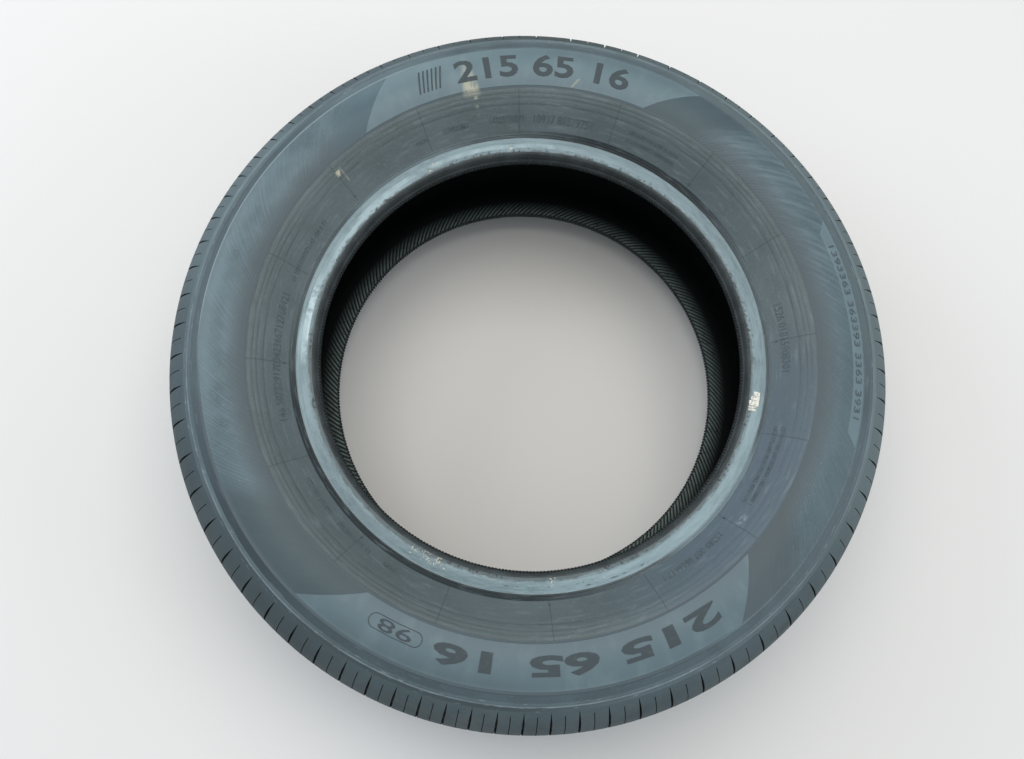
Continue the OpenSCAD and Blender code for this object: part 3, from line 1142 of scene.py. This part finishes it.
def oval_line(material):
    """A thin raised oval round the short number: a ring of round wire, pulled apart sideways."""
    bm = bmesh.new()
    upright = Matrix.Translation((OVAL_END_R, 0, 0)) @ Matrix.Rotation(math.pi / 2, 4, "X")
    wire = bmesh.ops.create_circle(bm, segments=8, radius=PROUD, matrix=upright)["verts"]
    bmesh.ops.spin(
        bm, geom=wire + bm.edges[:], cent=(0, 0, 0), axis=(0, 0, 1),
        angle=math.tau, steps=OVAL_STEPS)
    bmesh.ops.remove_doubles(bm, verts=bm.verts, dist=MERGE)
    bmesh.ops.recalc_face_normals(bm, faces=bm.faces)
    for v in bm.verts:
        if abs(v.co.x) > MERGE:
            v.co.x += math.copysign(OVAL_HALF_L, v.co.x)
    lay(bm, *OVAL_AT)
    on_both_sides(bm)
    show("oval_line", bm, [material])


def small_print(material, draw):
    """Rows of plain random numerals, where a tyre carries its small print."""
    bm = bmesh.new()
    for start, end, up, height in PRINT_ROWS:
        wide = math.radians(end - start) * PRINT_R
        count = max(2, round(wide / height * PRINT_SIGN_W))
        signs = [draw.choice("0123456789 ") for _ in range(count)]
        words = "1" + "".join(signs).replace("  ", " 0") + "1"
        line = numerals(words, (wide, height), 0.0)
        along = -math.radians(start + end) / 2 * PRINT_R
        bmesh.ops.translate(line, verts=line.verts, vec=(along, up, 0))
        gather(bm, line)
    lay(bm, 0, PRINT_R)
    on_both_sides(bm)
    show("small_print", bm, [material])


def strip_print(material, draw):
    """One row of plain random numerals on the narrow smooth strip near the shoulder."""
    words = "".join(draw.choice("0123456789") for _ in range(6))
    words = "1" + " ".join((words, words[::-1], words[2:], words[:3])) + "1"
    set_of_numerals("strip_numerals", words, STRIP_TURNS, STRIP_RADII, 0.0, material)


def toe_teeth(material):
    """The fine teeth that the mould's split ring leaves round the toe of each bead."""
    bm = bmesh.new()
    block(bm, TOOTH, (TOOTH_R, 0, MID_Z + TOOTH_W))
    bmesh.ops.scale(bm, vec=(MM, MM, MM), verts=bm.verts)
    bmesh.ops.spin(
        bm, geom=bm.verts[:] + bm.edges[:] + bm.faces[:], cent=(0, 0, 0), axis=(0, 0, 1),
        angle=math.tau * (TEETH - 1) / TEETH, steps=TEETH - 1, use_duplicate=True)
    on_both_sides(bm)
    show("toe_teeth", bm, [material])


def vent_stubs(material):
    """A short stub of rubber from the mould's air vent beside every other parting line."""
    bm = bmesh.new()
    for i in range(STUBS):
        turn = SEAM_FROM + SEAM_STEP * (2 * i)
        at = Matrix.Translation((-math.radians(turn) * PRINT_R, STUB_UP, 0.5))
        bmesh.ops.create_cone(
            bm, cap_ends=True, segments=8, radius1=STUB_FOOT_R, radius2=STUB_TIP_R,
            depth=STUB_L, matrix=at)
    lay(bm, 0, PRINT_R)
    on_both_sides(bm)
    show("vent_stubs", bm, [material])


def label_scraps(material, draw):
    """Torn scraps of a paper label, stuck on the bead's pale band."""
    bm = bmesh.new()
    x = SCRAPS_FROM
    for wide, high, up in SCRAPS:
        x += wide / 2
        tilt = draw.uniform(-SCRAP_TILT, SCRAP_TILT)
        strip = block(bm, (wide, high, SCRAP_T), (x, up, SCRAP_LIFT), tilt)
        x += wide / 2 + SCRAP_GAP
        edges = [e for e in bm.edges if e.verts[0] in strip]
        bmesh.ops.subdivide_edges(bm, edges=edges, cuts=4, use_grid_fill=True)
    for v in bm.verts:
        v.co.x += draw.uniform(-SCRAP_RAGGED, SCRAP_RAGGED)
        v.co.y += draw.uniform(-SCRAP_RAGGED, SCRAP_RAGGED)
    lay(bm, LABEL_TURN, LABEL_R)
    show("label_scraps", bm, [material])


def tyre(materials):
    """The tyre itself, with crisp edges along its grooves and rings."""
    piece = show("tyre_body", tyre_mesh(), materials)
    piece.data.shade_smooth()
    piece.data.set_sharp_from_angle(angle=math.radians(CRISP_EDGE_A))


def build_pieces():
    """All that is seen of the tyre."""
    draw = random.Random(7)
    tyre([
        tread_rubber(), groove_rubber(), shoulder_rubber(), plain_band_rubber(), decor_rubber(),
        lower_rubber(), bead_rubber(), toe_rubber(), liner_rubber(),
    ])
    matt = lettering_rubber()
    for row in NUMERALS:
        set_of_numerals(*row, matt)
    slanted_bars(matt)
    oval_line(matt)
    print_skin = print_rubber()
    small_print(print_skin, draw)
    strip_print(print_skin, draw)
    toe_teeth(teeth_rubber())
    vent_stubs(print_skin)
    label_scraps(label_paper(), draw)


# --- floor, light and camera -------------------------------------------------------------------

# how far the floor reaches in metres, and how strong the surroundings' light is
FLOOR_HALF = 40
WORLD_LEVEL = 0.6

# soft lights: name, place and size in metres, power in watts, tint
LIGHTS = (
    ("ceiling_light", (-0.2, 0.6, 2.3), (2.2, 1.6), 30, "#fff8ee"),
    ("window_light", (-2.3, 0.4, 1.5), (1.6, 1.6), 24, "#e8f0ff"),
    ("door_light", (2.3, -0.2, 1.3), (1.2, 1.2), 14, "#eef3ff"),
)

# the camera's place in metres, its turns in degrees, and its lens and film in mm
CAMERA_AT = (0, -0.2379, 1.0622)
CAMERA_TURNS = (-3.681, -76.48, 9.896)
LENS = 33.96
FILM_W = 36


def floor():
    """A plain pale floor that keeps the tyre's shadow."""
    skin = Skin("floor_paint_matt_and_pale")
    paint = skin.done(srgb("#e3e4e3"), 0.9)
    bm = bmesh.new()
    bmesh.ops.create_grid(bm, x_segments=1, y_segments=1, size=FLOOR_HALF)
    mesh = bpy.data.meshes.new("floor")
    bm.to_mesh(mesh)
    bm.free()
    mesh.materials.append(paint)
    ground = bpy.data.objects.new("floor", mesh)
    bpy.context.scene.collection.objects.link(ground)


def surroundings():
    """Pale surroundings that light everything evenly."""
    world = bpy.data.worlds.new("surroundings")
    bpy.context.scene.world = world
    world.use_nodes = True
    backdrop = world.node_tree.nodes["Background"]
    backdrop.inputs["Color"].default_value = srgb("#eef1f4")
    backdrop.inputs["Strength"].default_value = WORLD_LEVEL


def softbox(name, at, size, power, tint):
    """A large soft light that faces the tyre."""
    light = bpy.data.lights.new(name, "AREA")
    light.shape = "RECTANGLE"
    light.size, light.size_y = size
    light.energy = power
    light.color = srgb(tint)[:3]
    lamp = bpy.data.objects.new(name, light)
    bpy.context.scene.collection.objects.link(lamp)
    lamp.location = at
    lamp.rotation_euler = (-Vector(at)).to_track_quat("-Z", "Y").to_euler()


def camera():
    """Looks down on the tyre from a standing person's hand, a little to one side."""
    yaw, pitch, roll = [math.radians(a) for a in CAMERA_TURNS]
    level = math.cos(pitch)
    ahead = Vector((math.sin(yaw) * level, math.cos(yaw) * level, math.sin(pitch)))
    right = ahead.cross(Vector((0, 0, 1))).normalized()
    up = right.cross(ahead)
    x_axis = right * math.cos(roll) + up * math.sin(roll)
    y_axis = up * math.cos(roll) - right * math.sin(roll)
    lens = bpy.data.cameras.new("camera")
    lens.lens = LENS
    lens.sensor_width = FILM_W
    lens.sensor_fit = "HORIZONTAL"
    eye = bpy.data.objects.new("camera", lens)
    bpy.context.scene.collection.objects.link(eye)
    turned = Matrix((x_axis, y_axis, -ahead)).transposed().to_4x4()
    eye.matrix_world = Matrix.Translation(CAMERA_AT) @ turned
    bpy.context.scene.camera = eye


def build_stage():
    """The floor, the lights and the camera."""
    floor()
    surroundings()
    for light in LIGHTS:
        softbox(*light)
    camera()
    bpy.context.scene.view_settings.view_transform = "Standard"


build_pieces()
build_stage()
